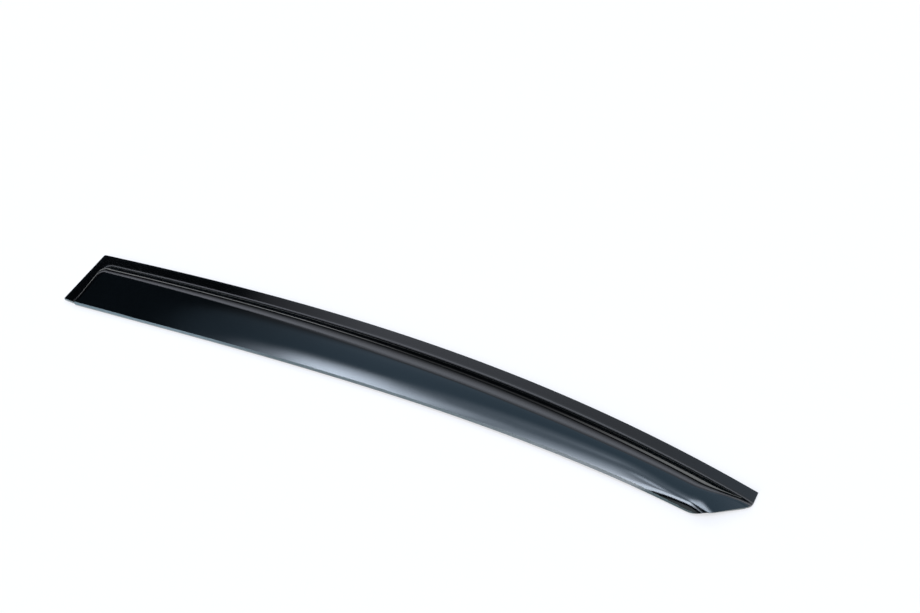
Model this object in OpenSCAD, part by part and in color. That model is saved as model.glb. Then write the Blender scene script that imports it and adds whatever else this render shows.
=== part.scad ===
// Window rain deflector for one side window.
// A single moulded sheet of smoked acrylic: a flat flange that runs along the top edge and down the
// closed end, a wall that steps up from it, and a panel that falls from the wall's shoulder to a free
// lip. The far end is cut off obliquely where the wall runs out. Foam tape lies under the flange.
// X runs along the chord from the closed end to the tapered end, +Y towards the top edge, +Z outwards.
// The tape's back lies on z = 0, and the origin is at the middle of the part's own box.

/* [Outline] */
// Length of the chord between the two ends of the top edge, mm
length = 780; // [640:1:900]
// Rise of the top edge's arch above its chord, mm
arch_rise = 36.4; // [20:0.1:50]
// Lean of the top edge's arch towards the tapered end
arch_lean = 0.4; // [0:0.01:0.7]
// Depth of the lip below the chord at the closed end, mm
lip_depth = 77.8; // [70:0.1:90]
// Depth that the lip's baseline has fallen to at the tapered end, mm
lip_depth_tip = 56; // [48:0.1:66]
// Rise of the lip's arch above its baseline, mm
lip_rise = 24.3; // [16:0.1:28]
// Lean of the lip's arch towards the tapered end
lip_lean = 0.76; // [0.4:0.01:0.9]

/* [Sheet] */
// Thickness of the acrylic sheet, mm
sheet = 3; // [2:0.1:3.4]
// Height of the step from the flange to the panel at its fullest, mm
step_height = 12.2; // [10.5:0.1:14]
// Height of the step at the closed end, mm
end_step = 9.4; // [8:0.1:10.4]
// Distance from the closed end at which the step is at its fullest, mm
step_reach = 600; // [300:1:640]

/* [Flange] */
// Width of the flange along the top edge, mm
flange = 12.4; // [12:0.1:15]
// Slope of the wall along the top edge, degrees
wall_slope = 36; // [32:1:42]
// Radius of the hollow at that wall's foot, at mid-length, mm
foot_radius = 12; // [8:0.1:14]
// Radius of the same hollow towards both ends, mm
foot_radius_ends = 6; // [4:0.1:8]
// Share of the wall's slope at which its tight brow gives way to the wide shoulder
brow_share = 0.667; // [0.5:0.001:0.8]
// Radius of the brow at the top of the wall, at mid-length, mm
brow_radius = 4; // [3.5:0.1:8]
// Radius of the same brow towards both ends, mm
brow_radius_ends = 24; // [12:0.1:30]
// Radius of the shoulder between the brow and the panel, at mid-length, mm
shoulder_radius = 34; // [24:0.1:40]
// Radius of the same shoulder towards both ends, mm
shoulder_radius_ends = 8; // [6:0.1:12]
// Lean of these radii's change towards the tapered end
bend_lean = 0.8; // [0:0.01:0.9]
// Radius of the outline's corner at the closed end, mm
outline_radius = 2; // [1:0.1:4]

/* [Closed end] */
// Width of the flange down the closed end, mm
end_flange = 12; // [11:0.1:14]
// Depth of the closed end's flange below the chord, mm
end_depth = 74; // [68:0.1:76]
// Distance that the closed end leans out to at its bottom, mm
end_lean = 2.4; // [0:0.1:4]
// Slope of the end wall, degrees
end_slope = 72; // [60:1:74]
// Radius of the hollow at the end wall's foot, mm
end_foot = 1.5; // [1:0.1:3]
// Radius of the end wall's shoulder, mm
end_shoulder = 3.6; // [3.5:0.1:5]
// Radius of the foot line where the two walls meet, seen from above, mm
foot_corner = 9; // [7:0.1:12]
// Radius of the shoulder line where the two walls meet, seen from above, mm
shoulder_corner = 6; // [5:0.1:8]

/* [Tapered end] */
// Width of the flange's square end, mm
tip_flange = 18; // [17:0.1:20]
// Lean of the flange's square end away from the chord's square, mm
tip_lean = 1.7; // [0:0.1:4]
// Angle of the oblique cut to the chord, degrees
tip_angle = 38; // [34:1:44]
// Length of the rounding between the square end and the oblique cut, mm
tip_round = 6; // [4:0.1:8]
// Reach of the rounding between the oblique cut and the lip, along each of them, mm
lip_round = 16; // [8:0.5:18]
// Height of the step that is left at the tip, mm
tip_step = 1; // [0.6:0.1:2]
// Length over which the step runs out towards the tip, mm
tip_fade = 60; // [50:1:100]

/* [Panel and lip] */
// Share of the panel's fall that it has as an even slope, the rest growing towards the lip
panel_lead = 0.25; // [0:0.01:0.6]
// Drop of the lip's curl where it is fullest, mm
curl_drop = 6; // [3:0.1:7]
// Width of the lip's curl, mm
curl_width = 6.5; // [5:0.1:9]
// Distance from the closed end at which the slight curl starts, mm
curl_start = 225; // [150:1:300]
// Length over which the slight curl comes in, mm
curl_lead = 60; // [40:1:100]
// Share of the full drop that the slight curl has
curl_slight = 0.1; // [0:0.01:0.5]
// Distance from the closed end at which it starts to grow to the full curl, mm
curl_growth = 640; // [440:1:660]
// Distance from the closed end at which the curl is full, mm
curl_full = 725; // [680:1:740]
// Drop of the fully curled lip below the flange's face, mm
curl_dip = 1.5; // [0:0.1:1.6]

/* [Foam tape] */
// Thickness of the foam tape, mm
tape = 1; // [0.8:0.1:1.6]
// Width of the tape along the top edge, mm
tape_width = 10; // [8:0.1:10.4]
// Width of the tape down the closed end, mm
end_tape_width = 8.5; // [6:0.1:9]
// Margin between the flange's outer edge and the tape, mm
tape_margin = 1.5; // [1:0.1:1.5]
// Gap between the two tapes where they meet, mm
tape_gap = 1; // [0.5:0.1:3]

/* [Hidden] */

// Cross-sections of the loft along the top edge (the first few round the tip), round the corner and
// down the closed end
TOP_RUNGS = 72;
TIP_RUNGS = 4;
CORNER_RUNGS = 8;
END_RUNGS = 7;
// Points of one cross-section in the foot's hollow, the brow, the shoulder, the panel and the curl
FOOT_POINTS = 4;
BROW_POINTS = 3;
SHOULDER_POINTS = 5;
PANEL_POINTS = 7;
CURL_POINTS = 5;
TAPE_STATIONS = 60;
// Rounds in which the oblique cut's meeting with the lip is found, and a low wall's slope
CUT_ROUNDS = 12;
TURN_ROUNDS = 24;

face = tape + sheet;
// Least height that is left to the wall where the panel has come down to the flange
least_rise = 0.3;
// Distance that the closed end's bottom edge falls from the outline to the foot, and on to the shoulder
end_fall = 0.3;
// Stretches of the lip, from the shoulder's corner on, that the corner's and the closed end's
// cross-sections run to, and the inset of the last of them
lip_turn_reach = 62;
lip_end_reach = 24;
lip_inset = 4;

function mix(a, b, t) = a + (b - a)*t;
function clamp(t) = min(1, max(0, t));
function ease(t) = let(c = clamp(t)) c*c*(3 - 2*c);

// Outline in plan, with x measured from the closed end
function skewed_arch(t, lean) = 4*t*(1 - t)*(1 + lean*(t - 0.5));
function top_y(x) = arch_rise*skewed_arch(x/length, arch_lean);
function top_slope(x) =
    let(t = x/length)
    4*arch_rise/length*((1 - 2*t)*(1 + arch_lean*(t - 0.5)) + t*(1 - t)*arch_lean);
function stretch(x) = sqrt(1 + pow(top_slope(x), 2));
function below_top(x, width) = top_y(x) - width*stretch(x);
function lip_y(x) = -mix(lip_depth, lip_depth_tip, x/length) + lip_rise*skewed_arch(x/length, lip_lean);

// A wall rises from a hollow at its foot over a straight slope to a brow and a shoulder. Its bends
// are the radii of the three, and a low wall turns less than asked for
function bent_run(turn, bends) =
    (bends[0] + bends[1])*sin(turn) + (bends[2] - bends[1])*sin(brow_share*turn);
function bent_height(turn, bends) =
    bends[0] + bends[2] - (bends[0] + bends[1])*cos(turn) - (bends[2] - bends[1])*cos(brow_share*turn);
function turn_between(height, bends, low, high, rounds) =
    let(turn = (low + high)/2)
    rounds == 0 ? low
    : bent_height(turn, bends) < height ? turn_between(height, bends, turn, high, rounds - 1)
    : turn_between(height, bends, low, turn, rounds - 1);
function wall_turn(height, slope, bends) =
    bent_height(slope, bends) <= height ? slope : turn_between(height, bends, 0, slope, TURN_ROUNDS);
function wall_run(height, slope, bends) =
    let(turn = wall_turn(height, slope, bends))
    bent_run(turn, bends) + (height - bent_height(turn, bends))/tan(turn);
function bends_at(x) =
    let(swell = min(1, skewed_arch(x/length, bend_lean)))
    [
        mix(foot_radius_ends, foot_radius, swell),
        mix(brow_radius_ends, brow_radius, swell),
        mix(shoulder_radius_ends, shoulder_radius, swell)
    ];
end_bends = [end_foot, end_shoulder, end_shoulder];

// Height of the panel's outer face above the flange's face
function step_at(x) =
    mix(tip_step, mix(end_step, step_height, ease(x/step_reach)), ease((length - x)/tip_fade));
function shoulder_y(x) = below_top(x, flange + wall_run(step_at(x), wall_slope, bends_at(x)));
function curl_share(x) =
    let(
        slight = ease((x - curl_start)/curl_lead),
        grown = ease((x - curl_growth)/(curl_full - curl_growth))
    )
    mix(curl_slight*slight, 1, grown)*clamp((step_at(x) - tip_step)/(step_height - tip_step));
function panel_rise(x, y) =
    let(
        top = shoulder_y(x),
        lip = lip_y(x),
        v = clamp((top - y)/(top - lip)),
        share = curl_share(x),
        fall = step_at(x) + (curl_dip - curl_drop)*share,
        curl = curl_drop*share*pow(clamp(1 - (y - lip)/curl_width), 2)
    )
    step_at(x) - fall*(panel_lead*v + (1 - panel_lead)*v*v) - curl;
function rise_of(x, y) = max(least_rise, panel_rise(x, y));

// The closed end leans out towards its bottom, by a share of the full lean
function leaned(p, share) = p - [share*end_lean*clamp(-p.y/end_depth), 0];

// Corner of radius r that joins the line below_top(x, width) to the upright line at x = side
function corner_centre(side, width, r) = [side + r, below_top(side + r, width) - r*stretch(side + r)];
function corner_start(side, r) = 90 + atan(top_slope(side + r));
function corner_point(side, width, r, t) =
    let(a = mix(corner_start(side, r), 180, t))
    corner_centre(side, width, r) + r*[cos(a), sin(a)];

// The oblique cut at the tapered end
tip_corner = [length - tip_lean, -tip_flange];
cut_way = [-cos(tip_angle), -sin(tip_angle)];
function cut_meets_lip(x, steps) =
    steps == 0 ? x : cut_meets_lip(tip_corner.x + (lip_y(x) - tip_corner.y)/tan(tip_angle), steps - 1);
lip_corner_x = cut_meets_lip(length - flange, CUT_ROUNDS);
lip_corner = [lip_corner_x, lip_y(lip_corner_x)];
cut_start = tip_corner + tip_round*cut_way;
cut_end = lip_corner - lip_round*cut_way;

// Where the outer edge, the foot, the shoulder and the lip leave the top edge for the closed end
end_shoulder_x = end_flange + wall_run(end_step, end_slope, end_bends);
shoulder_width = flange + wall_run(end_step, wall_slope, bends_at(end_shoulder_x));
outer_turn = corner_point(0, 0, outline_radius, 0).x;
foot_turn = corner_point(end_flange, flange, foot_corner, 0).x;
shoulder_turn = corner_point(end_shoulder_x, shoulder_width, shoulder_corner, 0).x;
lip_turn = shoulder_turn + lip_turn_reach;
lip_end = shoulder_turn + lip_end_reach;
lip_start = end_flange + lip_inset - end_lean;

function outer_on_top(q) = let(x = mix(length, outer_turn, q)) [x, top_y(x)];
function foot_on_top(q) =
    let(x = mix(length - tip_lean*flange/tip_flange, foot_turn, q))
    [x, below_top(x, flange)];
function shoulder_on_top(q) =
    let(x = mix(cut_start.x, shoulder_turn, q))
    q == 0 ? cut_start : [x, shoulder_y(x)];
function lip_at(x) = [x, lip_y(x)];
function bezier(a, b, c, t) = (1 - t)*(1 - t)*a + 2*t*(1 - t)*b + t*t*c;
// From the end of the oblique cut, round the lip's corner and back along the lip
function lip_on_top(q) =
    let(t = q*TOP_RUNGS/TIP_RUNGS, x = lip_corner.x - lip_round)
    t < 1
        ? bezier(cut_end, lip_corner, lip_at(x), t)
        : lip_at(mix(x, lip_turn, (t - 1)/(TOP_RUNGS/TIP_RUNGS - 1)));

// One cross-section: outer point, foot, shoulder, lip point, wall slope, wall bends
function top_rung(q) =
    let(shoulder = shoulder_on_top(q))
    [outer_on_top(q), foot_on_top(q), shoulder, lip_on_top(q), wall_slope, bends_at(shoulder.x)];
function corner_rung(t) =
    let(shoulder = corner_point(end_shoulder_x, shoulder_width, shoulder_corner, t))
    [
        leaned(corner_point(0, 0, outline_radius, t), t),
        leaned(corner_point(end_flange, flange, foot_corner, t), t),
        leaned(shoulder, t),
        lip_at(mix(lip_turn, lip_end, t)),
        mix(wall_slope, end_slope, t),
        mix(bends_at(shoulder.x), end_bends, t)
    ];
function end_rung(t) =
    let(
        turn = corner_rung(1),
        y = mix(turn[2].y, -end_depth - 2*end_fall, t),
        run = wall_run(rise_of(end_shoulder_x, y), end_slope, end_bends)
    )
    [
        leaned([0, mix(turn[0].y, -end_depth, t)], 1),
        leaned([end_flange, mix(turn[1].y, -end_depth - end_fall, t)], 1),
        leaned([end_flange + run, y], 1),
        lip_at(mix(lip_end, lip_start, t)),
        end_slope,
        end_bends
    ];
RUNGS = [
    for (i = [0:TOP_RUNGS - 1]) top_rung(i/TOP_RUNGS),
    for (i = [0:CORNER_RUNGS - 1]) corner_rung(i/CORNER_RUNGS),
    for (i = [0:END_RUNGS]) end_rung(i/END_RUNGS)
];

// Points of the wall as [share of its run, height], from the foot to the shoulder
function wall_profile(height, slope, bends) =
    let(
        turn = wall_turn(height, slope, bends),
        run = wall_run(height, slope, bends),
        soft = brow_share*turn,
        eave = [run - bends[2]*sin(soft), height - bends[2]*(1 - cos(soft))],
        points = [
            for (k = [0:FOOT_POINTS]) let(a = turn*k/FOOT_POINTS) bends[0]*[sin(a), 1 - cos(a)],
            for (k = [0:BROW_POINTS - 1])
                let(a = mix(turn, soft, k/BROW_POINTS))
                eave - bends[1]*[sin(a) - sin(soft), cos(soft) - cos(a)],
            for (k = [0:SHOULDER_POINTS])
                let(a = soft*(1 - k/SHOULDER_POINTS)) [run, height] - bends[2]*[sin(a), 1 - cos(a)]
        ]
    )
    [for (p = points) [p[0]/run, p[1]]];

// Where the wall's points lie in plan: straight, but round the corner at the tip on the first rung
function wall_plan(rung, share, first) =
    first ? bezier(rung[1], tip_corner, rung[2], share) : mix(rung[1], rung[2], share);

// Outer face of one cross-section, from the outer edge to the lip
function section(rung, first) =
    let(
        foot = rung[1],
        shoulder = rung[2],
        lip = rung[3],
        profile = wall_profile(rise_of(shoulder.x, shoulder.y), rung[4], rung[5]),
        reach = norm(lip - shoulder),
        curl_from = 1 - min(0.5, curl_width/reach),
        spots = [
            for (k = [1:PANEL_POINTS]) curl_from*k/PANEL_POINTS,
            for (k = [1:CURL_POINTS]) mix(curl_from, 1, k/CURL_POINTS)
        ]
    )
    [
        [rung[0].x, rung[0].y, face],
        for (p = profile) let(at = wall_plan(rung, p[0], first)) [at.x, at.y, face + p[1]],
        for (s = spots) let(at = mix(shoulder, lip, s)) [at.x, at.y, face + panel_rise(at.x, at.y)]
    ];
OUTER = [for (i = [0:len(RUNGS) - 1]) section(RUNGS[i], i == 0)];
ROWS = len(OUTER);
COLS = len(OUTER[0]);

// Inner face: the outer one moved in by the sheet's thickness, square to it
function face_normal(i, j) =
    let(
        across = OUTER[i][min(j + 1, COLS - 1)] - OUTER[i][j - 1],
        along = OUTER[min(i + 1, ROWS - 1)][j] - OUTER[max(i - 1, 0)][j],
        n = cross(across, along)
    )
    n*sign(n.z)/norm(n);
function inner_point(i, j) = OUTER[i][j] - sheet*(j < 2 ? [0, 0, 1] : face_normal(i, j));

module loft(rows, cols, outer, inner) {
    count = rows*cols;
    function at(i, j) = i*cols + j;
    faces = [
        for (i = [0:rows - 2], j = [0:cols - 2]) [at(i, j), at(i, j + 1), at(i + 1, j + 1)],
        for (i = [0:rows - 2], j = [0:cols - 2]) [at(i, j), at(i + 1, j + 1), at(i + 1, j)],
        for (i = [0:rows - 2], j = [0:cols - 2]) count*[1, 1, 1] + [at(i, j), at(i + 1, j + 1), at(i, j + 1)],
        for (i = [0:rows - 2], j = [0:cols - 2]) count*[1, 1, 1] + [at(i, j), at(i + 1, j), at(i + 1, j + 1)],
        for (i = [0:rows - 2]) each edge_strip(at(i + 1, 0), at(i, 0), count),
        for (i = [0:rows - 2]) each edge_strip(at(i, cols - 1), at(i + 1, cols - 1), count),
        for (j = [0:cols - 2]) each edge_strip(at(0, j), at(0, j + 1), count),
        for (j = [0:cols - 2]) each edge_strip(at(rows - 1, j + 1), at(rows - 1, j), count)
    ];
    polyhedron(points = concat([for (row = outer) each row], [for (row = inner) each row]), faces = faces);
}
function edge_strip(a, b, count) = [[b, a, a + count], [b, a + count, b + count]];

// Middle of the part's box in plan
highest = max([for (row = OUTER) row[0].y]);
lowest = min([for (row = OUTER) row[COLS - 1].y]);
module placed() translate([(end_lean - length)/2, -(highest + lowest)/2, 0]) children();

module visor() color([0.06, 0.08, 0.1])
    placed()
        loft(ROWS, COLS, OUTER, [for (i = [0:ROWS - 1]) [for (j = [0:COLS - 1]) inner_point(i, j)]]);

// The two tapes under the flange, butted at the corner
tape_from = outline_radius;
tape_to = length - tip_lean - tape_margin;
module top_tape() color([0.14, 0.14, 0.15])
    placed()
        linear_extrude(tape)
            polygon([
                for (i = [0:TAPE_STATIONS])
                    let(x = mix(tape_from, tape_to, i/TAPE_STATIONS)) [x, below_top(x, tape_margin)],
                for (i = [TAPE_STATIONS:-1:0])
                    let(x = mix(tape_from, tape_to, i/TAPE_STATIONS))
                    [x, below_top(x, tape_margin + tape_width)]
            ]);

// Corner of the end tape, where x is measured from the closed end and a top corner lies below the top tape
function end_tape_corner(x, on_top) =
    leaned([x, on_top ? below_top(x, tape_margin + tape_width + tape_gap) : tape_margin - end_depth], 1);
module end_tape() color([0.14, 0.14, 0.15])
    placed()
        linear_extrude(tape)
            polygon([
                end_tape_corner(tape_margin, true),
                end_tape_corner(tape_margin + end_tape_width, true),
                end_tape_corner(tape_margin + end_tape_width, false),
                end_tape_corner(tape_margin, false)
            ]);

visor();
top_tape();
end_tape();
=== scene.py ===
# Window rain deflector: one moulded sheet of smoked acrylic, with foam tape under its
# flange. The sheet is lofted in plan and height from a few lines, as it is drawn for
# its mould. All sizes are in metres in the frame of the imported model: X along the chord
# and +Y towards the top edge.
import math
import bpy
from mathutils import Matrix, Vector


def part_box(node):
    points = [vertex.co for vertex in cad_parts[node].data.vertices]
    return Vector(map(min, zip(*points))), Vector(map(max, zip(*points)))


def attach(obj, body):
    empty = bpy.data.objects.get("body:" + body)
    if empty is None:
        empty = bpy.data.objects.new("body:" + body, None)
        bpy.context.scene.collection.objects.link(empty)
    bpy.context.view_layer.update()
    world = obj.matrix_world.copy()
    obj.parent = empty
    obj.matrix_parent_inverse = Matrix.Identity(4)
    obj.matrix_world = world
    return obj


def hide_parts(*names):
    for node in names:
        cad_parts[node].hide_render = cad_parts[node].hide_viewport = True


bl_info = {
    "name": "Window Rain Deflector",
    "version": (1, 0, 0),
    "blender": (4, 5, 0),
    "location": "3D View > Sidebar > Deflector",
    "description": "Makes a smoked acrylic rain deflector, its foam tapes and a studio",
    "category": "Object",
}

import bmesh
import bpy
from mathutils import Vector

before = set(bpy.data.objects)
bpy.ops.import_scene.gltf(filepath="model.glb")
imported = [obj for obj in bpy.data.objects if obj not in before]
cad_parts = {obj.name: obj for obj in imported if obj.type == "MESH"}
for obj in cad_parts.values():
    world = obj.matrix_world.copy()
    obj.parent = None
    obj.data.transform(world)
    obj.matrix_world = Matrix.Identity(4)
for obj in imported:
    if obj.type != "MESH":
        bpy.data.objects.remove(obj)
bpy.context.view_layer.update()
VISOR_LOW, VISOR_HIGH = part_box("visor")
TAPE_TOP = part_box("top_tape")[1].z

FOAM_TAPES = ("top_tape", "end_tape")

# Rounds that find the corner of cut and lip, and halvings for a low wall's slope
CORNER_ROUNDS = 12
TURN_ROUNDS = 30
# Least height of the wall over the flange
LEAST_HEIGHT = 0.0003
# Down the closed end, each line stops this much lower than the line outside it
END_SLANT = 0.0003
# Where sections reach the lip: the first and last of the corner, beyond the shoulder's
# turn, and the last of the closed end, beyond its flange
LIP_TURN = 0.062
LIP_END = 0.024
LIP_START = 0.004
# Shares of the top edge's sections that round the cut into the lip, and the flange into
# the cut
LIP_ROUND_SHARE = 1 / 18
TIP_ROUND_SHARE = 1 / 72
# How steeply the lip's curl and the soft bend before it set in, and the most of the
# panel's sections that the curl takes up
CURL_POWER = 1.5
LEAD_POWER = 2
CURL_MOST = 0.5
# Zones of the sheet from its outer edge to the lip, with the strips of mesh in each
ZONES = {
    "flange": 6,
    "foot": 8,
    "slope": 3,
    "brow": 4,
    "shoulder": 10,
    "panel": 26,
    "curl": 18,
}
# Slots of the visor's two materials
POLISHED, FLAMED = 0, 1
# Strips of mesh in the edges' rounding, and the least angle that is rounded
EDGE_SEGMENTS = 3
EDGE_ANGLE = math.radians(50)
# Painted light on the flamed edge: where along X it begins to pale, and where it is
# palest
PAINTED_EDGE_LIGHT = (-0.12, -0.26)

SENSOR_WIDTH = 36
# The table's half width, and how far it lies under the tapes' glue
TABLE_HALF = 12
TABLE_DROP = 0.00005
# How white the table shows under the part, and how far out it is wholly white
TABLE_WHITE = 0.55
TABLE_WHITENS = (0.6, 1.5)
# Painted reflection: how far the table's mirror image is darkened for glossy rays, and
# between which places along X
PAINTED_REFLECTION_DIM = 0.9
PAINTED_REFLECTION_SPAN = {"left": (-0.17, 0.01), "right": (0.37, 0.13)}

# The light comes from soft areas overhead. A ray that rises by 1 goes x to the right
# and y ahead, as the camera heads. Each edge of an area is given as where it is dark
# and where it is full. Leans and flares say how an edge slants.
LOWEST_RAY = 0.02
EDGE_LEAN = 0.3
# Left edges that fade in twice: the share of the first fade, and both fades
LIT_FADES = (0.3, (-0.52, -0.47), (-0.5, -0.3))
LIT = {"right": (1.3, 0.8)}
CEILING = {"near": (-0.8, -0.5), "far": (0.68, 0.45)}
CEILING_LEAST = 0.03
WINDOW_LEAN = 0.15
WINDOW_RISE = 3
WINDOW_FALL = (0.28, 0.95)
WINDOW_OPENS = (0.85, 1.05)
WINDOW_FLARE = 0.45
WINDOW_SIDES = (0.9, 0.5)
LEFT_BOX_LEAN = 0.25
LEFT_BOX_FADES = (0.25, (-0.46, -0.4), (-0.41, -0.385))
LEFT_BOX = {"right": (-0.31, -0.4), "near": (-0.48, -0.24), "far": (0.18, -0.15)}
RIGHT_BOX_LEAN = 0.35
RIGHT_BOX = {
    "left": (-0.33, -0.12),
    "right": (0.42, 0.2),
    "near": (-0.42, -0.32),
    "far": (-0.08, -0.3),
}
FILL_OPENS = (-0.2, -0.35)
FILL = {
    "left": (-0.7, -0.5),
    "right": (0.3, 0.1),
    "near": (-0.7, -0.45),
    "far": (0.1, -0.15),
}
# The strip behind the camera fans out: its sides are x for each unit behind
STRIP_LEAST_BEHIND = -0.1
STRIP_FLARE = 0.45
STRIP_FLARES = (-0.6, -1.0)
STRIP_OUTER = (1.5, 1.25)
STRIP = {"right": (0.5, 0.68), "near": (-6.0, -3.5), "far": (-0.3, -1.0)}


def mix(a, b, t):
    return a + (b - a) * t


def clamp(t):
    return min(1.0, max(0.0, t))


def ease(t):
    t = clamp(t)
    return t * t * (3 - 2 * t)


def length_of(name, default, description):
    """A length that a user may change, in metres."""
    return bpy.props.FloatProperty(
        name=name, description=description, default=default, unit="LENGTH", precision=5
    )


def share_of(name, default, description):
    return bpy.props.FloatProperty(
        name=name, description=description, default=default, subtype="FACTOR"
    )


def power_of(name, default, description):
    """A strength of light that a user may change."""
    return bpy.props.FloatProperty(
        name=name, description=description, default=default, min=0
    )


def angle_of(name, degrees, description):
    return bpy.props.FloatProperty(
        name=name,
        description=description,
        default=math.radians(degrees),
        subtype="ANGLE",
    )


def count_of(name, default, description):
    return bpy.props.IntProperty(
        name=name, description=description, default=default, min=1
    )


def colour_of(name, default, description):
    return bpy.props.FloatVectorProperty(
        name=name, description=description, default=default, size=3, subtype="COLOR"
    )


class DeflectorShape(bpy.types.PropertyGroup):
    """Sizes of the moulded sheet"""

    end_lean: length_of("End lean", 0.0024, "Closed end leans out at its bottom")
    arch_rise: length_of("Arch rise", 0.0364, "Rise of the top edge above its chord")
    arch_lean: share_of("Arch lean", 0.4, "Lean of that arch to the tapered end")
    lip_depth: length_of("Lip depth", 0.0778, "Lip below the chord, closed end")
    lip_depth_tip: length_of(
        "Lip depth at tip", 0.056, "Lip's baseline below the chord, tapered end"
    )
    lip_rise: length_of("Lip rise", 0.0243, "Rise of the lip above its baseline")
    lip_lean: share_of("Lip lean", 0.76, "Lean of that arch to the tapered end")
    sheet: length_of("Sheet", 0.003, "Thickness of the acrylic")
    step: length_of("Step", 0.0122, "Height from the flange to the panel")
    end_step: length_of("End step", 0.0094, "The same height at the closed end")
    step_reach: length_of("Step reach", 0.6, "Closed end to the fullest step")
    flange: length_of("Flange", 0.0124, "Width of the flange along the top edge")
    wall_slope: angle_of("Wall slope", 36, "Slope of the wall along the top edge")
    foot_radius: length_of("Foot radius", 0.012, "Hollow of that wall, mid-length")
    foot_radius_ends: length_of("Foot radius, ends", 0.006, "And at both ends")
    brow_share: share_of("Brow share", 0.5, "Slope at which brow meets shoulder")
    brow_radius: length_of("Brow", 0.004, "Tight bend over the wall, mid-length")
    brow_radius_ends: length_of("Brow, ends", 0.016, "And at both ends")
    shoulder_radius: length_of("Shoulder", 0.044, "Shoulder radius, mid-length")
    shoulder_radius_ends: length_of("Shoulder, ends", 0.0105, "And at both ends")
    bend_lean: share_of("Bend lean", 0.8, "Lean of those radii to the tapered end")
    outline_radius: length_of("Outline radius", 0.002, "Outline's closed corner")
    end_flange: length_of("End flange", 0.012, "Flange down the closed end")
    end_depth: length_of("End depth", 0.074, "Closed end below the chord")
    end_slope: angle_of("End slope", 72, "Slope of the end wall")
    end_foot: length_of("End foot", 0.0015, "Hollow at the end wall's foot")
    end_shoulder: length_of("End shoulder", 0.0036, "Shoulder of the end wall")
    foot_corner: length_of("Foot corner", 0.009, "Foot line's corner in plan")
    shoulder_corner: length_of("Shoulder corner", 0.006, "Shoulder line's corner")
    tip_flange: length_of("Tip flange", 0.018, "Width of the flange's square end")
    tip_lean: length_of("Tip lean", 0.0017, "Lean of the flange's square end")
    tip_angle: angle_of("Tip angle", 38, "Oblique cut against the chord")
    tip_round: length_of("Tip round", 0.006, "Rounding of flange and cut")
    lip_round: length_of("Lip round", 0.016, "Rounding of cut and lip")
    tip_step: length_of("Tip step", 0.001, "Height of the step at the tip")
    tip_fade: length_of("Tip fade", 0.06, "Length over which the step runs out")
    panel_lead: share_of("Panel lead", 0.25, "Share of the panel's even slope")
    curl_drop: length_of("Curl drop", 0.006, "Drop of the lip's curl")
    curl_width: length_of("Curl width", 0.0035, "Width of the lip's curl")
    curl_width_tip: length_of("Curl width at tip", 0.0055, "Its width where it is full")
    curl_lead: length_of("Curl lead", 0.0015, "Drop of the soft bend before it")
    curl_lead_width: length_of("Lead width", 0.012, "Width of that soft bend")
    curl_growth: length_of("Curl growth", 0.64, "Closed end to where it grows")
    curl_full: length_of("Curl full", 0.725, "Closed end to the full curl")
    curl_dip: length_of("Curl dip", 0.0015, "Full curl below the flange's face")
    edge_round: length_of("Edge round", 0.0006, "Polished rounding of the edges")
    lip_flamed: length_of("Flamed lip", 0.0025, "Width of the flamed band on the lip")
    lip_flamed_tip: length_of("Flamed tip", 0.0009, "Its width where the lip curls")
    top_rungs: count_of("Rungs on top", 280, "Sections along the top edge")
    corner_rungs: count_of("Rungs round corner", 26, "Sections round the corner")
    end_rungs: count_of("Rungs on end", 26, "Sections down the closed end")


class DeflectorFinish(bpy.types.PropertyGroup):
    """Colours of the acrylic and the foam"""

    smoke: colour_of(
        "Smoke", (0.0016, 0.0026, 0.0036), "What is left of light through the sheet"
    )
    gloss: colour_of("Gloss", (0.8, 0.93, 1.0), "Cool tint of the polished face")
    edge: colour_of("Cut edge", (0.045, 0.08, 0.083), "Sawn and flamed edge")
    # Painted light: the edge's paler colour near the closed end
    edge_painted_light: colour_of("Pale edge", (0.13, 0.18, 0.19), "Edge near the closed end")
    foam: colour_of("Foam", (0.012, 0.012, 0.013), "Closed-cell foam tape")


class DeflectorStudio(bpy.types.PropertyGroup):
    """Camera, floor and light"""

    eye: bpy.props.FloatVectorProperty(
        name="Eye",
        description="Where the camera stands",
        default=(0.35738, -0.62582, 0.97608),
        size=3,
        subtype="TRANSLATION",
        unit="LENGTH",
    )
    heading: angle_of("Heading", 24.18, "Turn of the camera about the vertical")
    pitch: angle_of("Pitch", 50, "Angle that the camera looks down")
    lens: bpy.props.FloatProperty(
        name="Lens", description="Focal length in millimetres", default=44.06
    )
    floor: colour_of("Floor", (0.9, 0.9, 0.9), "Colour of the table")
    # Painted reflection: the dark colour that glossy rays see on the table under the
    # part's middle
    painted_dark_reflection: colour_of("Shade", (0.02, 0.02, 0.02), "The table's dimmest mirror image")
    ceiling: colour_of("Ceiling", (0.75, 1.02, 1.3), "Light of the ceiling")
    window: colour_of("Window", (1.12, 1.05, 1.12), "Tint of the strip of light ahead")
    softbox: colour_of("Softbox", (1.07, 1.05, 1.14), "Tint of the softboxes")
    ceiling_power: power_of("Ceiling power", 0.83, "Strength of the ceiling")
    window_power: power_of("Window power", 2.0, "Strength of the strip ahead")
    softbox_power: power_of("Softbox power", 0.83, "Strength of the softboxes and fill")
    left_box: power_of("Left box", 17.0, "Left softbox, against the fill")
    right_box: power_of("Right box", 9.5, "Right softbox, against the fill")
    strip: power_of("Strip", 14.5, "Strip behind the camera, against the fill")


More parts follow.
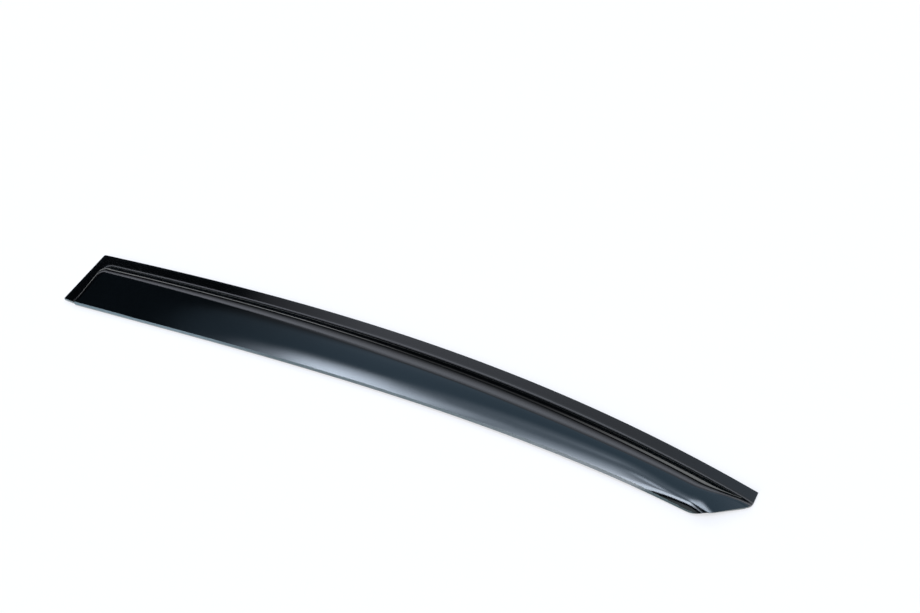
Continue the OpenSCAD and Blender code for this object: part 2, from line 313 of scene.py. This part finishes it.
class SheetForm:
    """The sheet's outer face, worked out from its sizes. In plan, x is from the closed
    end and y from the chord."""

    def __init__(self, shape):
        self.s = s = shape
        self.face = TAPE_TOP + s.sheet
        self.length = VISOR_HIGH.x - VISOR_LOW.x - s.end_lean
        self.tip_corner = Vector((self.length - s.tip_lean, -s.tip_flange))
        self.cut_way = Vector((-math.cos(s.tip_angle), -math.sin(s.tip_angle)))
        x = self.length - s.flange
        for _ in range(CORNER_ROUNDS):
            drop = self.lip_y(x) - self.tip_corner.y
            x = self.tip_corner.x + drop / math.tan(s.tip_angle)
        self.lip_corner = self.lip_at(x)
        self.cut_start = self.tip_corner + s.tip_round * self.cut_way
        self.cut_end = self.lip_corner - s.lip_round * self.cut_way
        self.end_bends = (s.end_foot, s.end_shoulder, s.end_shoulder)
        self.end_shoulder_x = s.end_flange + self.wall_run(
            s.end_step, s.end_slope, self.end_bends
        )
        self.shoulder_width = s.flange + self.wall_run(
            s.end_step, s.wall_slope, self.bends_at(self.end_shoulder_x)
        )
        self.corners = {
            "outer": (0, 0, s.outline_radius),
            "foot": (s.end_flange, s.flange, s.foot_corner),
            "shoulder": (self.end_shoulder_x, self.shoulder_width, s.shoulder_corner),
        }
        self.turns = {name: self.corner_point(name, 0).x for name in self.corners}
        self.lip_turn = self.turns["shoulder"] + LIP_TURN
        self.lip_end = self.turns["shoulder"] + LIP_END
        self.lip_start = s.end_flange + LIP_START - s.end_lean

    @staticmethod
    def arch(t, lean):
        return 4 * t * (1 - t) * (1 + lean * (t - 0.5))

    def top_y(self, x):
        return self.s.arch_rise * self.arch(x / self.length, self.s.arch_lean)

    def top_slope(self, x):
        s, t = self.s, x / self.length
        lean = (1 - 2 * t) * (1 + s.arch_lean * (t - 0.5)) + t * (1 - t) * s.arch_lean
        return 4 * s.arch_rise / self.length * lean

    def below_top(self, x, width):
        return self.top_y(x) - width * math.hypot(1, self.top_slope(x))

    def lip_y(self, x):
        s = self.s
        base = mix(s.lip_depth, s.lip_depth_tip, x / self.length)
        return s.lip_rise * self.arch(x / self.length, s.lip_lean) - base

    def lip_at(self, x):
        return Vector((x, self.lip_y(x)))

    def bends_at(self, x):
        """Radii of the wall's hollow, brow and shoulder, so far from the closed end."""
        s = self.s
        swell = min(1, self.arch(x / self.length, s.bend_lean))
        return (
            mix(s.foot_radius_ends, s.foot_radius, swell),
            mix(s.brow_radius_ends, s.brow_radius, swell),
            mix(s.shoulder_radius_ends, s.shoulder_radius, swell),
        )

    def bend_sizes(self, turn, bends):
        """Run and height of a wall that turns so far, with no straight part."""
        hollow, brow, shoulder = bends
        soft = self.s.brow_share * turn
        run = (hollow + brow) * math.sin(turn) + (shoulder - brow) * math.sin(soft)
        height = hollow + shoulder - (hollow + brow) * math.cos(turn)
        return run, height - (shoulder - brow) * math.cos(soft)

    def wall_turn(self, height, slope, bends):
        """Slope of the wall's straight part, less where the wall is too low for it."""
        if self.bend_sizes(slope, bends)[1] <= height:
            return slope
        low, high = 0, slope
        for _ in range(TURN_ROUNDS):
            turn = (low + high) / 2
            if self.bend_sizes(turn, bends)[1] < height:
                low = turn
            else:
                high = turn
        return low

    def wall_run(self, height, slope, bends):
        turn = self.wall_turn(height, slope, bends)
        run, bent = self.bend_sizes(turn, bends)
        return run + (height - bent) / math.tan(turn)

    def step_at(self, x):
        s = self.s
        full = mix(s.end_step, s.step, ease(x / s.step_reach))
        return mix(s.tip_step, full, ease((self.length - x) / s.tip_fade))

    def shoulder_y(self, x):
        s = self.s
        run = self.wall_run(self.step_at(x), s.wall_slope, self.bends_at(x))
        return self.below_top(x, s.flange + run)

    def curl_share(self, x):
        """How far the lip's curl is grown, from 0 to 1."""
        s = self.s
        grown = ease((x - s.curl_growth) / (s.curl_full - s.curl_growth))
        fade = clamp((self.step_at(x) - s.tip_step) / (s.step - s.tip_step))
        return grown * fade

    def panel_rise(self, x, y):
        """Height of the panel over the flange, with its crown and its curled lip."""
        s, step = self.s, self.step_at(x)
        top, lip = self.shoulder_y(x), self.lip_y(x)
        v, share = clamp((top - y) / (top - lip)), self.curl_share(x)
        width = mix(s.curl_width, s.curl_width_tip, share)
        fall = step + (s.curl_dip - s.curl_drop - s.curl_lead) * share
        lead = s.curl_lead * clamp(1 - (y - lip) / s.curl_lead_width) ** LEAD_POWER
        curl = s.curl_drop * clamp(1 - (y - lip) / width) ** CURL_POWER
        return step - fall * mix(v * v, v, s.panel_lead) - (curl + lead) * share

    def leaned(self, point, share):
        """The point moved out with the closed end's lean, by a share of it."""
        s = self.s
        shift = share * s.end_lean * clamp(-point.y / s.end_depth)
        return Vector((point.x - shift, point.y))

    def corner_point(self, name, t):
        """A point of a line's rounded corner, from the top edge to the closed end."""
        side, width, radius = self.corners[name]
        x = side + radius
        slope = self.top_slope(x)
        centre = Vector((x, self.below_top(x, width) - radius * math.hypot(1, slope)))
        a = mix(math.pi / 2 + math.atan(slope), math.pi, t)
        return centre + radius * Vector((math.cos(a), math.sin(a)))

    @staticmethod
    def bend(a, b, c, t):
        """A point of the rounding that leaves a towards b and comes to c."""
        return (1 - t) ** 2 * a + 2 * t * (1 - t) * b + t * t * c

    def top_rung(self, q):
        """A section from the top edge: its outer point, foot, shoulder and lip, the
        wall's slope and radii, and how far the tip rounds it."""
        s, turns = self.s, self.turns
        near_tip = clamp(1 - q / TIP_ROUND_SHARE)
        x = mix(self.length, turns["outer"], q)
        outer = Vector((x, self.top_y(x)))
        tip = self.length - s.tip_lean * s.flange / s.tip_flange
        x = mix(tip, turns["foot"], q)
        foot = Vector((x, self.below_top(x, s.flange)))
        x = mix(self.cut_start.x, turns["shoulder"], q)
        shoulder = Vector((x, mix(self.shoulder_y(x), self.cut_start.y, near_tip)))
        x, t = self.lip_corner.x - s.lip_round, q / LIP_ROUND_SHARE
        if t < 1:
            lip = self.bend(self.cut_end, self.lip_corner, self.lip_at(x), t)
        else:
            rest = (t - 1) / (1 / LIP_ROUND_SHARE - 1)
            lip = self.lip_at(mix(x, self.lip_turn, rest))
        wall = (s.wall_slope, self.bends_at(shoulder.x))
        return (outer, foot, shoulder, lip), wall, near_tip

    def corner_rung(self, t):
        """The same for a section round the closed corner."""
        s = self.s
        outer, foot, shoulder = (self.corner_point(name, t) for name in self.corners)
        bends = zip(self.bends_at(shoulder.x), self.end_bends)
        lines = (
            *(self.leaned(point, t) for point in (outer, foot, shoulder)),
            self.lip_at(mix(self.lip_turn, self.lip_end, t)),
        )
        slope = mix(s.wall_slope, s.end_slope, t)
        return lines, (slope, [mix(a, b, t) for a, b in bends]), 0

    def end_rung(self, t):
        """The same for a section down the closed end."""
        s, turn = self.s, self.corner_rung(1)[0]
        wall = (s.end_slope, self.end_bends)
        outer_y, foot_y, shoulder_y = (
            mix(turn[line].y, -s.end_depth - line * END_SLANT, t) for line in range(3)
        )
        height = max(LEAST_HEIGHT, self.panel_rise(self.end_shoulder_x, shoulder_y))
        outer = Vector((0, outer_y))
        foot = Vector((s.end_flange, foot_y))
        shoulder = Vector((s.end_flange + self.wall_run(height, *wall), shoulder_y))
        lines = (
            *(self.leaned(point, 1) for point in (outer, foot, shoulder)),
            self.lip_at(mix(self.lip_end, self.lip_start, t)),
        )
        return lines, wall, 0

    def rungs(self):
        s = self.s
        top = [self.top_rung(i / s.top_rungs) for i in range(s.top_rungs)]
        corner = [self.corner_rung(i / s.corner_rungs) for i in range(s.corner_rungs)]
        end = [self.end_rung(i / s.end_rungs) for i in range(s.end_rungs + 1)]
        return top + corner + end

    def section(self, rung, marks):
        """Points of a rung at the marks, each a zone of the sheet and a share of it."""
        s = self.s
        (outer, foot, shoulder, lip), (slope, bends), near_tip = rung
        height = max(LEAST_HEIGHT, self.panel_rise(shoulder.x, shoulder.y))
        turn = self.wall_turn(height, slope, bends)
        run = self.wall_run(height, slope, bends)
        hollow, brow, radius = bends
        soft = s.brow_share * turn
        low = (hollow * math.sin(turn), hollow * (1 - math.cos(turn)))
        eave = (run - radius * math.sin(soft), height - radius * (1 - math.cos(soft)))
        high = (
            eave[0] - brow * (math.sin(turn) - math.sin(soft)),
            eave[1] - brow * (math.cos(soft) - math.cos(turn)),
        )
        width = mix(s.curl_width, s.curl_width_tip, self.curl_share(lip.x))
        curl_from = 1 - min(CURL_MOST, width / (lip - shoulder).length)
        points = []
        for zone, t in marks:
            if zone == "flange":
                at, rise = mix(outer, foot, t), 0
            elif zone in ("panel", "curl"):
                t = curl_from * t if zone == "panel" else mix(curl_from, 1, t)
                at = mix(shoulder, lip, t)
                rise = self.panel_rise(at.x, at.y)
            else:
                if zone == "foot":
                    a = turn * t
                    along = hollow * math.sin(a)
                    rise = hollow * (1 - math.cos(a))
                elif zone == "slope":
                    along, rise = mix(low[0], high[0], t), mix(low[1], high[1], t)
                elif zone == "brow":
                    a = mix(turn, soft, t)
                    along = high[0] + brow * (math.sin(turn) - math.sin(a))
                    rise = high[1] + brow * (math.cos(a) - math.cos(turn))
                else:
                    a = soft * (1 - t)
                    along = run - radius * math.sin(a)
                    rise = height - radius * (1 - math.cos(a))
                straight = mix(foot, shoulder, along / run)
                rounded = self.bend(foot, self.tip_corner, shoulder, along / run)
                at = mix(straight, rounded, near_tip)
            points.append((at.x, at.y, self.face + rise))
        return points


def marks_across():
    """Where the long edges of the sheet's mesh run, from the outer edge to the lip."""
    marks = [("flange", 0)]
    for zone, count in ZONES.items():
        marks += [(zone, k / count) for k in range(1, count + 1)]
    return marks


class Value:
    """What a socket gives. Sums and products of a number add their Math nodes."""

    def __init__(self, tree, socket):
        self.tree, self.socket = tree, socket

    def maths(self, operation, *inputs):
        node = self.tree.nodes.new("ShaderNodeMath")
        node.operation = operation
        for slot, value in zip(node.inputs, inputs):
            connect(self.tree, value, slot)
        return Value(self.tree, node.outputs[0])

    def __add__(self, other):
        return self.maths("ADD", self, other)

    def __radd__(self, other):
        return self.maths("ADD", other, self)

    def __sub__(self, other):
        return self.maths("SUBTRACT", self, other)

    def __rsub__(self, other):
        return self.maths("SUBTRACT", other, self)

    def __mul__(self, other):
        return self.maths("MULTIPLY", self, other)

    def __rmul__(self, other):
        return self.maths("MULTIPLY", other, self)

    def __truediv__(self, other):
        return self.maths("DIVIDE", self, other)

    def __rtruediv__(self, other):
        return self.maths("DIVIDE", other, self)

    def __pow__(self, other):
        return self.maths("POWER", self, other)

    def most(self, other):
        return self.maths("MAXIMUM", self, other)

    def least(self, other):
        return self.maths("MINIMUM", self, other)


def connect(tree, value, socket):
    if isinstance(value, Value):
        tree.links.new(value.socket, socket)
    else:
        socket.default_value = value


class Finish:
    """A node tree with one call that adds any node."""

    def __init__(self, tree):
        self.tree = tree
        tree.nodes.clear()

    def node(self, kind, settings=None, inputs=None, out=0):
        """Adds a node, sets it up, fills its sockets and returns what it gives."""
        node = self.tree.nodes.new(kind)
        for name, value in (settings or {}).items():
            setattr(node, name, value)
        for name, value in (inputs or {}).items():
            connect(self.tree, value, node.inputs[name])
        outputs = node.outputs
        if isinstance(out, tuple):
            return [Value(self.tree, outputs[name]) for name in out]
        return Value(self.tree, outputs[out]) if len(outputs) else None

    def place(self):
        return self.node("ShaderNodeTexCoord", out="Object")

    def smooth(self, value, dark, full):
        """0 up to dark, 1 from full on and eased between."""
        return self.node(
            "ShaderNodeMapRange",
            {"interpolation_type": "SMOOTHSTEP"},
            {"Value": value, "From Min": dark, "From Max": full},
        )

    def twice(self, value, share, first, second):
        """Eased from 0 to 1 in two fades, the first of them so large a share."""
        early, late = self.smooth(value, *first), self.smooth(value, *second)
        return share * early + (1 - share) * late

    def area(self, edges, x, y=None):
        """A soft area, bounded by edges that each say where it is dark and is full."""
        ways = {"left": x, "right": x, "near": y, "far": y}
        light, *others = (self.smooth(ways[name], *edges[name]) for name in edges)
        for other in others:
            light = light * other
        return light

    def spread(self, share, least, most):
        """A number between two."""
        return least + (most - least) * share

    def noise(self, place, scale, detail, rough=0.5):
        return self.node(
            "ShaderNodeTexNoise",
            inputs={
                "Vector": place,
                "Scale": scale,
                "Detail": detail,
                "Roughness": rough,
            },
        )

    def blend(self, share, a, b):
        """A colour between two."""
        return self.node(
            "ShaderNodeMix",
            {"data_type": "RGBA"},
            {"Factor": share, 6: a, 7: b},
            out=2,
        )

    def bump(self, height, distance, strength):
        return self.node(
            "ShaderNodeBump",
            inputs={"Strength": strength, "Distance": distance, "Height": height},
        )

    def along(self, vector, way):
        """How far a vector goes in one direction."""
        return self.node(
            "ShaderNodeVectorMath",
            {"operation": "DOT_PRODUCT"},
            {0: vector, 1: way},
            out=1,
        )

    def between(self, share, a, b):
        """A shader between two."""
        return self.node("ShaderNodeMixShader", inputs={0: share, 1: a, 2: b})

    def surface(self, shader):
        self.node("ShaderNodeOutputMaterial", inputs={"Surface": shader})

    def body(self, sockets):
        """The whole surface, as one Principled shader with these sockets."""
        self.surface(self.node("ShaderNodeBsdfPrincipled", inputs=sockets))

    def background(self, colour, strength):
        return self.node(
            "ShaderNodeBackground", inputs={"Color": colour, "Strength": strength}
        )


def finish_material(name):
    material = bpy.data.materials.new(name)
    material.use_nodes = True
    return material, Finish(material.node_tree)


def four(colour, lightness=1):
    """A colour and its alpha, darker or lighter than it is given."""
    return (*(lightness * c for c in colour), 1)


def smoked_acrylic(look):
    """Polished dark acrylic, with faint waves from the mould and a light haze."""
    material, f = finish_material("smoked_acrylic")
    place = f.place()
    waves = f.noise(place, scale=14, detail=1)
    haze = f.noise(place, scale=55, detail=4)
    dim = four(look.smoke, lightness=0.8)
    f.body(
        {
            "Base Color": f.blend(haze, dim, four(look.smoke)),
            "Roughness": f.spread(haze, least=0.05, most=0.09),
            "IOR": 1.55,
            "Specular Tint": four(look.gloss),
            "Transmission Weight": 1.0,
            "Normal": f.bump(waves, distance=0.0001, strength=0.5),
        }
    )
    return material


def cut_edge(look):
    """Sawn and flamed edge, where the smoke shows teal, with painted light that makes it
    paler near the closed end.
    """
    material, f = finish_material("acrylic_cut_edge")
    place = f.place()
    saw = f.noise(place, scale=900, detail=2)
    cloud = f.noise(place, scale=40, detail=3)
    # Painted light: the edge pales towards the closed end along X
    pale = f.smooth(f.along(place, (1, 0, 0)), *PAINTED_EDGE_LIGHT)
    tone = f.blend(cloud, four(look.edge, lightness=0.7), four(look.edge))
    f.body(
        {
            "Base Color": f.blend(pale, tone, four(look.edge_painted_light)),
            "Roughness": f.spread(saw, least=0.22, most=0.42),
            "IOR": 1.49,
            "Normal": f.bump(saw, distance=0.00004, strength=0.6),
        }
    )
    return material


def foam(look):
    """Closed-cell foam: fine cells in a soft black."""
    material, f = finish_material("foam_tape")
    place = f.place()
    cells = f.node("ShaderNodeTexVoronoi", inputs={"Vector": place, "Scale": 1800})
    cloud = f.noise(place, scale=120, detail=3)
    light = four(look.foam, lightness=2.2)
    f.body(
        {
            "Base Color": f.blend(cloud, four(look.foam), light),
            "Roughness": f.spread(cloud, least=0.82, most=0.94),
            "Normal": f.bump(cells, distance=0.0002, strength=0.8),
        }
    )
    return material


def table_top(studio):
    """Pale table, white away from the part; where the part's middle mirrors it, glossy
    rays see a painted reflection that darkens the table.
    """
    material, f = finish_material("floor")
    place = f.place()
    away = f.node("ShaderNodeVectorMath", {"operation": "LENGTH"}, {0: place}, out=1)
    camera, glossy, through = f.node(
        "ShaderNodeLightPath",
        out=("Is Camera Ray", "Is Glossy Ray", "Is Transmission Ray"),
    )
    seen = camera.most(glossy).most(through)
    whiter = f.spread(f.smooth(away, *TABLE_WHITENS), least=TABLE_WHITE, most=1)
    table = f.node("ShaderNodeBsdfDiffuse", inputs={"Color": four(studio.floor)})
    white = f.node("ShaderNodeEmission", inputs={"Strength": 1.0})
    # Painted reflection: a dark table that only glossy rays see
    painted_dark_reflection = f.node("ShaderNodeBsdfDiffuse", inputs={"Color": four(studio.painted_dark_reflection)})
    pale = f.between(seen * glossy.most(whiter), table, white)
    # Painted darkening of the table's mirror image, between two places along X
    painted_darkening = PAINTED_REFLECTION_DIM * f.area(PAINTED_REFLECTION_SPAN, f.along(place, (1, 0, 0)))
    f.surface(f.between(glossy * painted_darkening, pale, painted_dark_reflection))
    return material


def window_light(f, x, y, lit):
    """A strip of light ahead, which widens as it goes and falls off far away."""
    depth = y + WINDOW_LEAN * x
    deep = depth.most(0)
    fall = f.smooth(1 / depth.most(1), *WINDOW_FALL)
    strip = deep.least(1) ** WINDOW_RISE * fall
    strip = strip * lit.most(f.smooth(depth, *WINDOW_OPENS))
    aside = x.most(-1 * x) - WINDOW_FLARE * deep
    return strip * f.smooth(aside, *WINDOW_SIDES)


def softbox_light(f, x, y, edge, lit, studio):
    """Two softboxes, the strip behind the camera and a fill between them."""
    left_box = f.area(LEFT_BOX, x - LEFT_BOX_LEAN * y.least(0), y)
    left_box = left_box * f.twice(edge, *LEFT_BOX_FADES)
    right_box = f.area(RIGHT_BOX, x, y - RIGHT_BOX_LEAN * x.most(0))
    aside = x / y.least(STRIP_LEAST_BEHIND)
    outer = aside + STRIP_FLARE * f.smooth(y, *STRIP_FLARES)
    strip = f.area(STRIP, aside, y) * f.smooth(outer, *STRIP_OUTER)
    fill = f.area(FILL, x, y) * lit.most(f.smooth(y, *FILL_OPENS))
    boxes = studio.left_box * left_box + studio.right_box * right_box
    return boxes + studio.strip * strip + fill


def place_object(context, name, data):
    """A new object at the origin, with its place in its mesh."""
    new = bpy.data.objects.new(name, data)
    context.scene.collection.objects.link(new)
    return new


def mesh_of(bm, name):
    mesh = bpy.data.meshes.new(name)
    bm.to_mesh(mesh)
    bm.free()
    return mesh


class DEFLECTOR_OT_make_visor(bpy.types.Operator):
    """Make the moulded sheet of smoked acrylic"""

    bl_idname = "deflector.make_visor"
    bl_label = "Make the visor"

    def execute(self, context):
        shape, look = context.scene.deflector_shape, context.scene.deflector_finish
        visor = place_object(context, "visor_shell", self.outer_face(shape))
        visor.data.materials.append(smoked_acrylic(look))
        visor.data.materials.append(cut_edge(look))
        wall = visor.modifiers.new("sheet", "SOLIDIFY")
        wall.thickness = shape.sheet
        wall.offset = -1
        wall.use_even_offset = True
        wall.use_quality_normals = True
        wall.material_offset_rim = FLAMED
        polish = visor.modifiers.new("polish", "BEVEL")
        polish.width = shape.edge_round
        polish.segments = EDGE_SEGMENTS
        polish.limit_method = "ANGLE"
        polish.angle_limit = EDGE_ANGLE
        polish.harden_normals = True
        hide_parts("visor")
        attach(visor, "root")
        return {"FINISHED"}

    def outer_face(self, shape):
        """The sheet's outer face as a grid, set down on its sections."""
        form = SheetForm(shape)
        marks, rungs = marks_across(), form.rungs()
        sections = [form.section(rung, marks) for rung in rungs]
        middle = (VISOR_LOW + VISOR_HIGH) / 2
        highest = max(row[0][1] for row in sections)
        lowest = min(row[-1][1] for row in sections)
        shift_x = middle.x - (form.length - shape.end_lean) / 2
        shift = Vector((shift_x, middle.y - (highest + lowest) / 2, 0))
        columns, rows = len(marks) - 1, len(rungs) - 1
        bm = bmesh.new()
        bmesh.ops.create_grid(bm, x_segments=columns, y_segments=rows, size=1)
        for vertex in bm.verts:
            across = round((vertex.co.x + 1) / 2 * columns)
            along = round((vertex.co.y + 1) / 2 * rows)
            vertex.co = Vector(sections[along][across]) + shift
        bmesh.ops.recalc_face_normals(bm, faces=bm.faces)
        if sum(face.normal.z for face in bm.faces) < 0:
            bmesh.ops.reverse_faces(bm, faces=bm.faces)
        for face in bm.faces:
            face.smooth = True
            place = face.calc_center_median() - shift
            curled = form.curl_share(place.x)
            flamed = mix(shape.lip_flamed, shape.lip_flamed_tip, curled)
            on_lip = place.y < form.lip_y(place.x) + flamed
            face.material_index = FLAMED if on_lip else POLISHED
        return mesh_of(bm, "visor_shell")


class DEFLECTOR_OT_finish_tapes(bpy.types.Operator):
    """Give the foam tapes their foam"""

    bl_idname = "deflector.finish_tapes"
    bl_label = "Finish the tapes"

    def execute(self, context):
        material = foam(context.scene.deflector_finish)
        for name in FOAM_TAPES:
            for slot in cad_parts[name].material_slots:
                slot.material = material
        return {"FINISHED"}


class DEFLECTOR_OT_make_studio(bpy.types.Operator):
    """Make the floor, the light and the camera"""

    bl_idname = "deflector.make_studio"
    bl_label = "Make the studio"

    def execute(self, context):
        studio = context.scene.deflector_studio
        self.make_camera(context, studio)
        self.make_floor(context, studio)
        self.make_world(context, studio)
        context.scene.view_settings.view_transform = "Standard"
        return {"FINISHED"}

    def make_camera(self, context, studio):
        data = bpy.data.cameras.new("camera")
        data.sensor_width = SENSOR_WIDTH
        data.lens = studio.lens
        camera = place_object(context, "camera", data)
        camera.location = studio.eye
        camera.rotation_euler = (math.pi / 2 - studio.pitch, 0, studio.heading)
        context.scene.camera = camera

    def make_floor(self, context, studio):
        bm = bmesh.new()
        bmesh.ops.create_grid(bm, x_segments=1, y_segments=1, size=TABLE_HALF)
        bmesh.ops.translate(bm, verts=bm.verts, vec=(0, 0, -TABLE_DROP))
        floor = place_object(context, "floor", mesh_of(bm, "floor"))
        floor.data.materials.append(table_top(studio))

    def make_world(self, context, studio):
        world = bpy.data.worlds.new("studio")
        context.scene.world = world
        world.use_nodes = True
        f = Finish(world.node_tree)
        way = f.node("ShaderNodeTexCoord", out="Generated")
        sin, cos = math.sin(studio.heading), math.cos(studio.heading)
        up = f.along(way, (0, 0, 1)).most(LOWEST_RAY)
        x = f.along(way, (cos, sin, 0)) / up
        y = f.along(way, (-sin, cos, 0)) / up
        edge = x - EDGE_LEAN * y
        lit = f.twice(edge, *LIT_FADES) * f.area(LIT, x)
        ceiling = lit * f.area(CEILING, x, y) + CEILING_LEAST
        window = window_light(f, x, y, lit)
        boxes = softbox_light(f, x, y, edge, lit, studio)
        light, *others = (
            f.background(four(studio.ceiling), studio.ceiling_power * ceiling),
            f.background(four(studio.window), studio.window_power * window),
            f.background(four(studio.softbox), studio.softbox_power * boxes),
        )
        for other in others:
            light = f.node("ShaderNodeAddShader", inputs={0: light, 1: other})
        camera = f.node("ShaderNodeLightPath", out="Is Camera Ray")
        white = f.background(four((1, 1, 1)), 1.0)
        sky = f.between(camera, light, white)
        f.node("ShaderNodeOutputWorld", inputs={"Surface": sky})


class DEFLECTOR_PT_sidebar(bpy.types.Panel):
    """Sizes and colours of the deflector, and the steps that make it"""

    bl_label = "Deflector"
    bl_idname = "DEFLECTOR_PT_sidebar"
    bl_space_type = "VIEW_3D"
    bl_region_type = "UI"
    bl_category = "Deflector"

    def draw(self, context):
        for group in GROUPS:
            sizes = getattr(context.scene, group)
            column = self.layout.column(align=True)
            for name in sizes.bl_rna.properties.keys():
                if name not in ("rna_type", "name"):
                    column.prop(sizes, name)
        for step in STEPS:
            self.layout.operator(step.bl_idname)


GROUPS = {
    "deflector_shape": DeflectorShape,
    "deflector_finish": DeflectorFinish,
    "deflector_studio": DeflectorStudio,
}
STEPS = (DEFLECTOR_OT_make_visor, DEFLECTOR_OT_finish_tapes, DEFLECTOR_OT_make_studio)
CLASSES = (*GROUPS.values(), *STEPS, DEFLECTOR_PT_sidebar)


def register():
    for kind in CLASSES:
        bpy.utils.register_class(kind)
    for name, group in GROUPS.items():
        setattr(bpy.types.Scene, name, bpy.props.PointerProperty(type=group))


def unregister():
    for name in GROUPS:
        delattr(bpy.types.Scene, name)
    for kind in reversed(CLASSES):
        bpy.utils.unregister_class(kind)


def main():
    register()
    bpy.ops.deflector.make_visor()
    bpy.ops.deflector.finish_tapes()
    bpy.ops.deflector.make_studio()


if __name__ == "__main__":
    main()
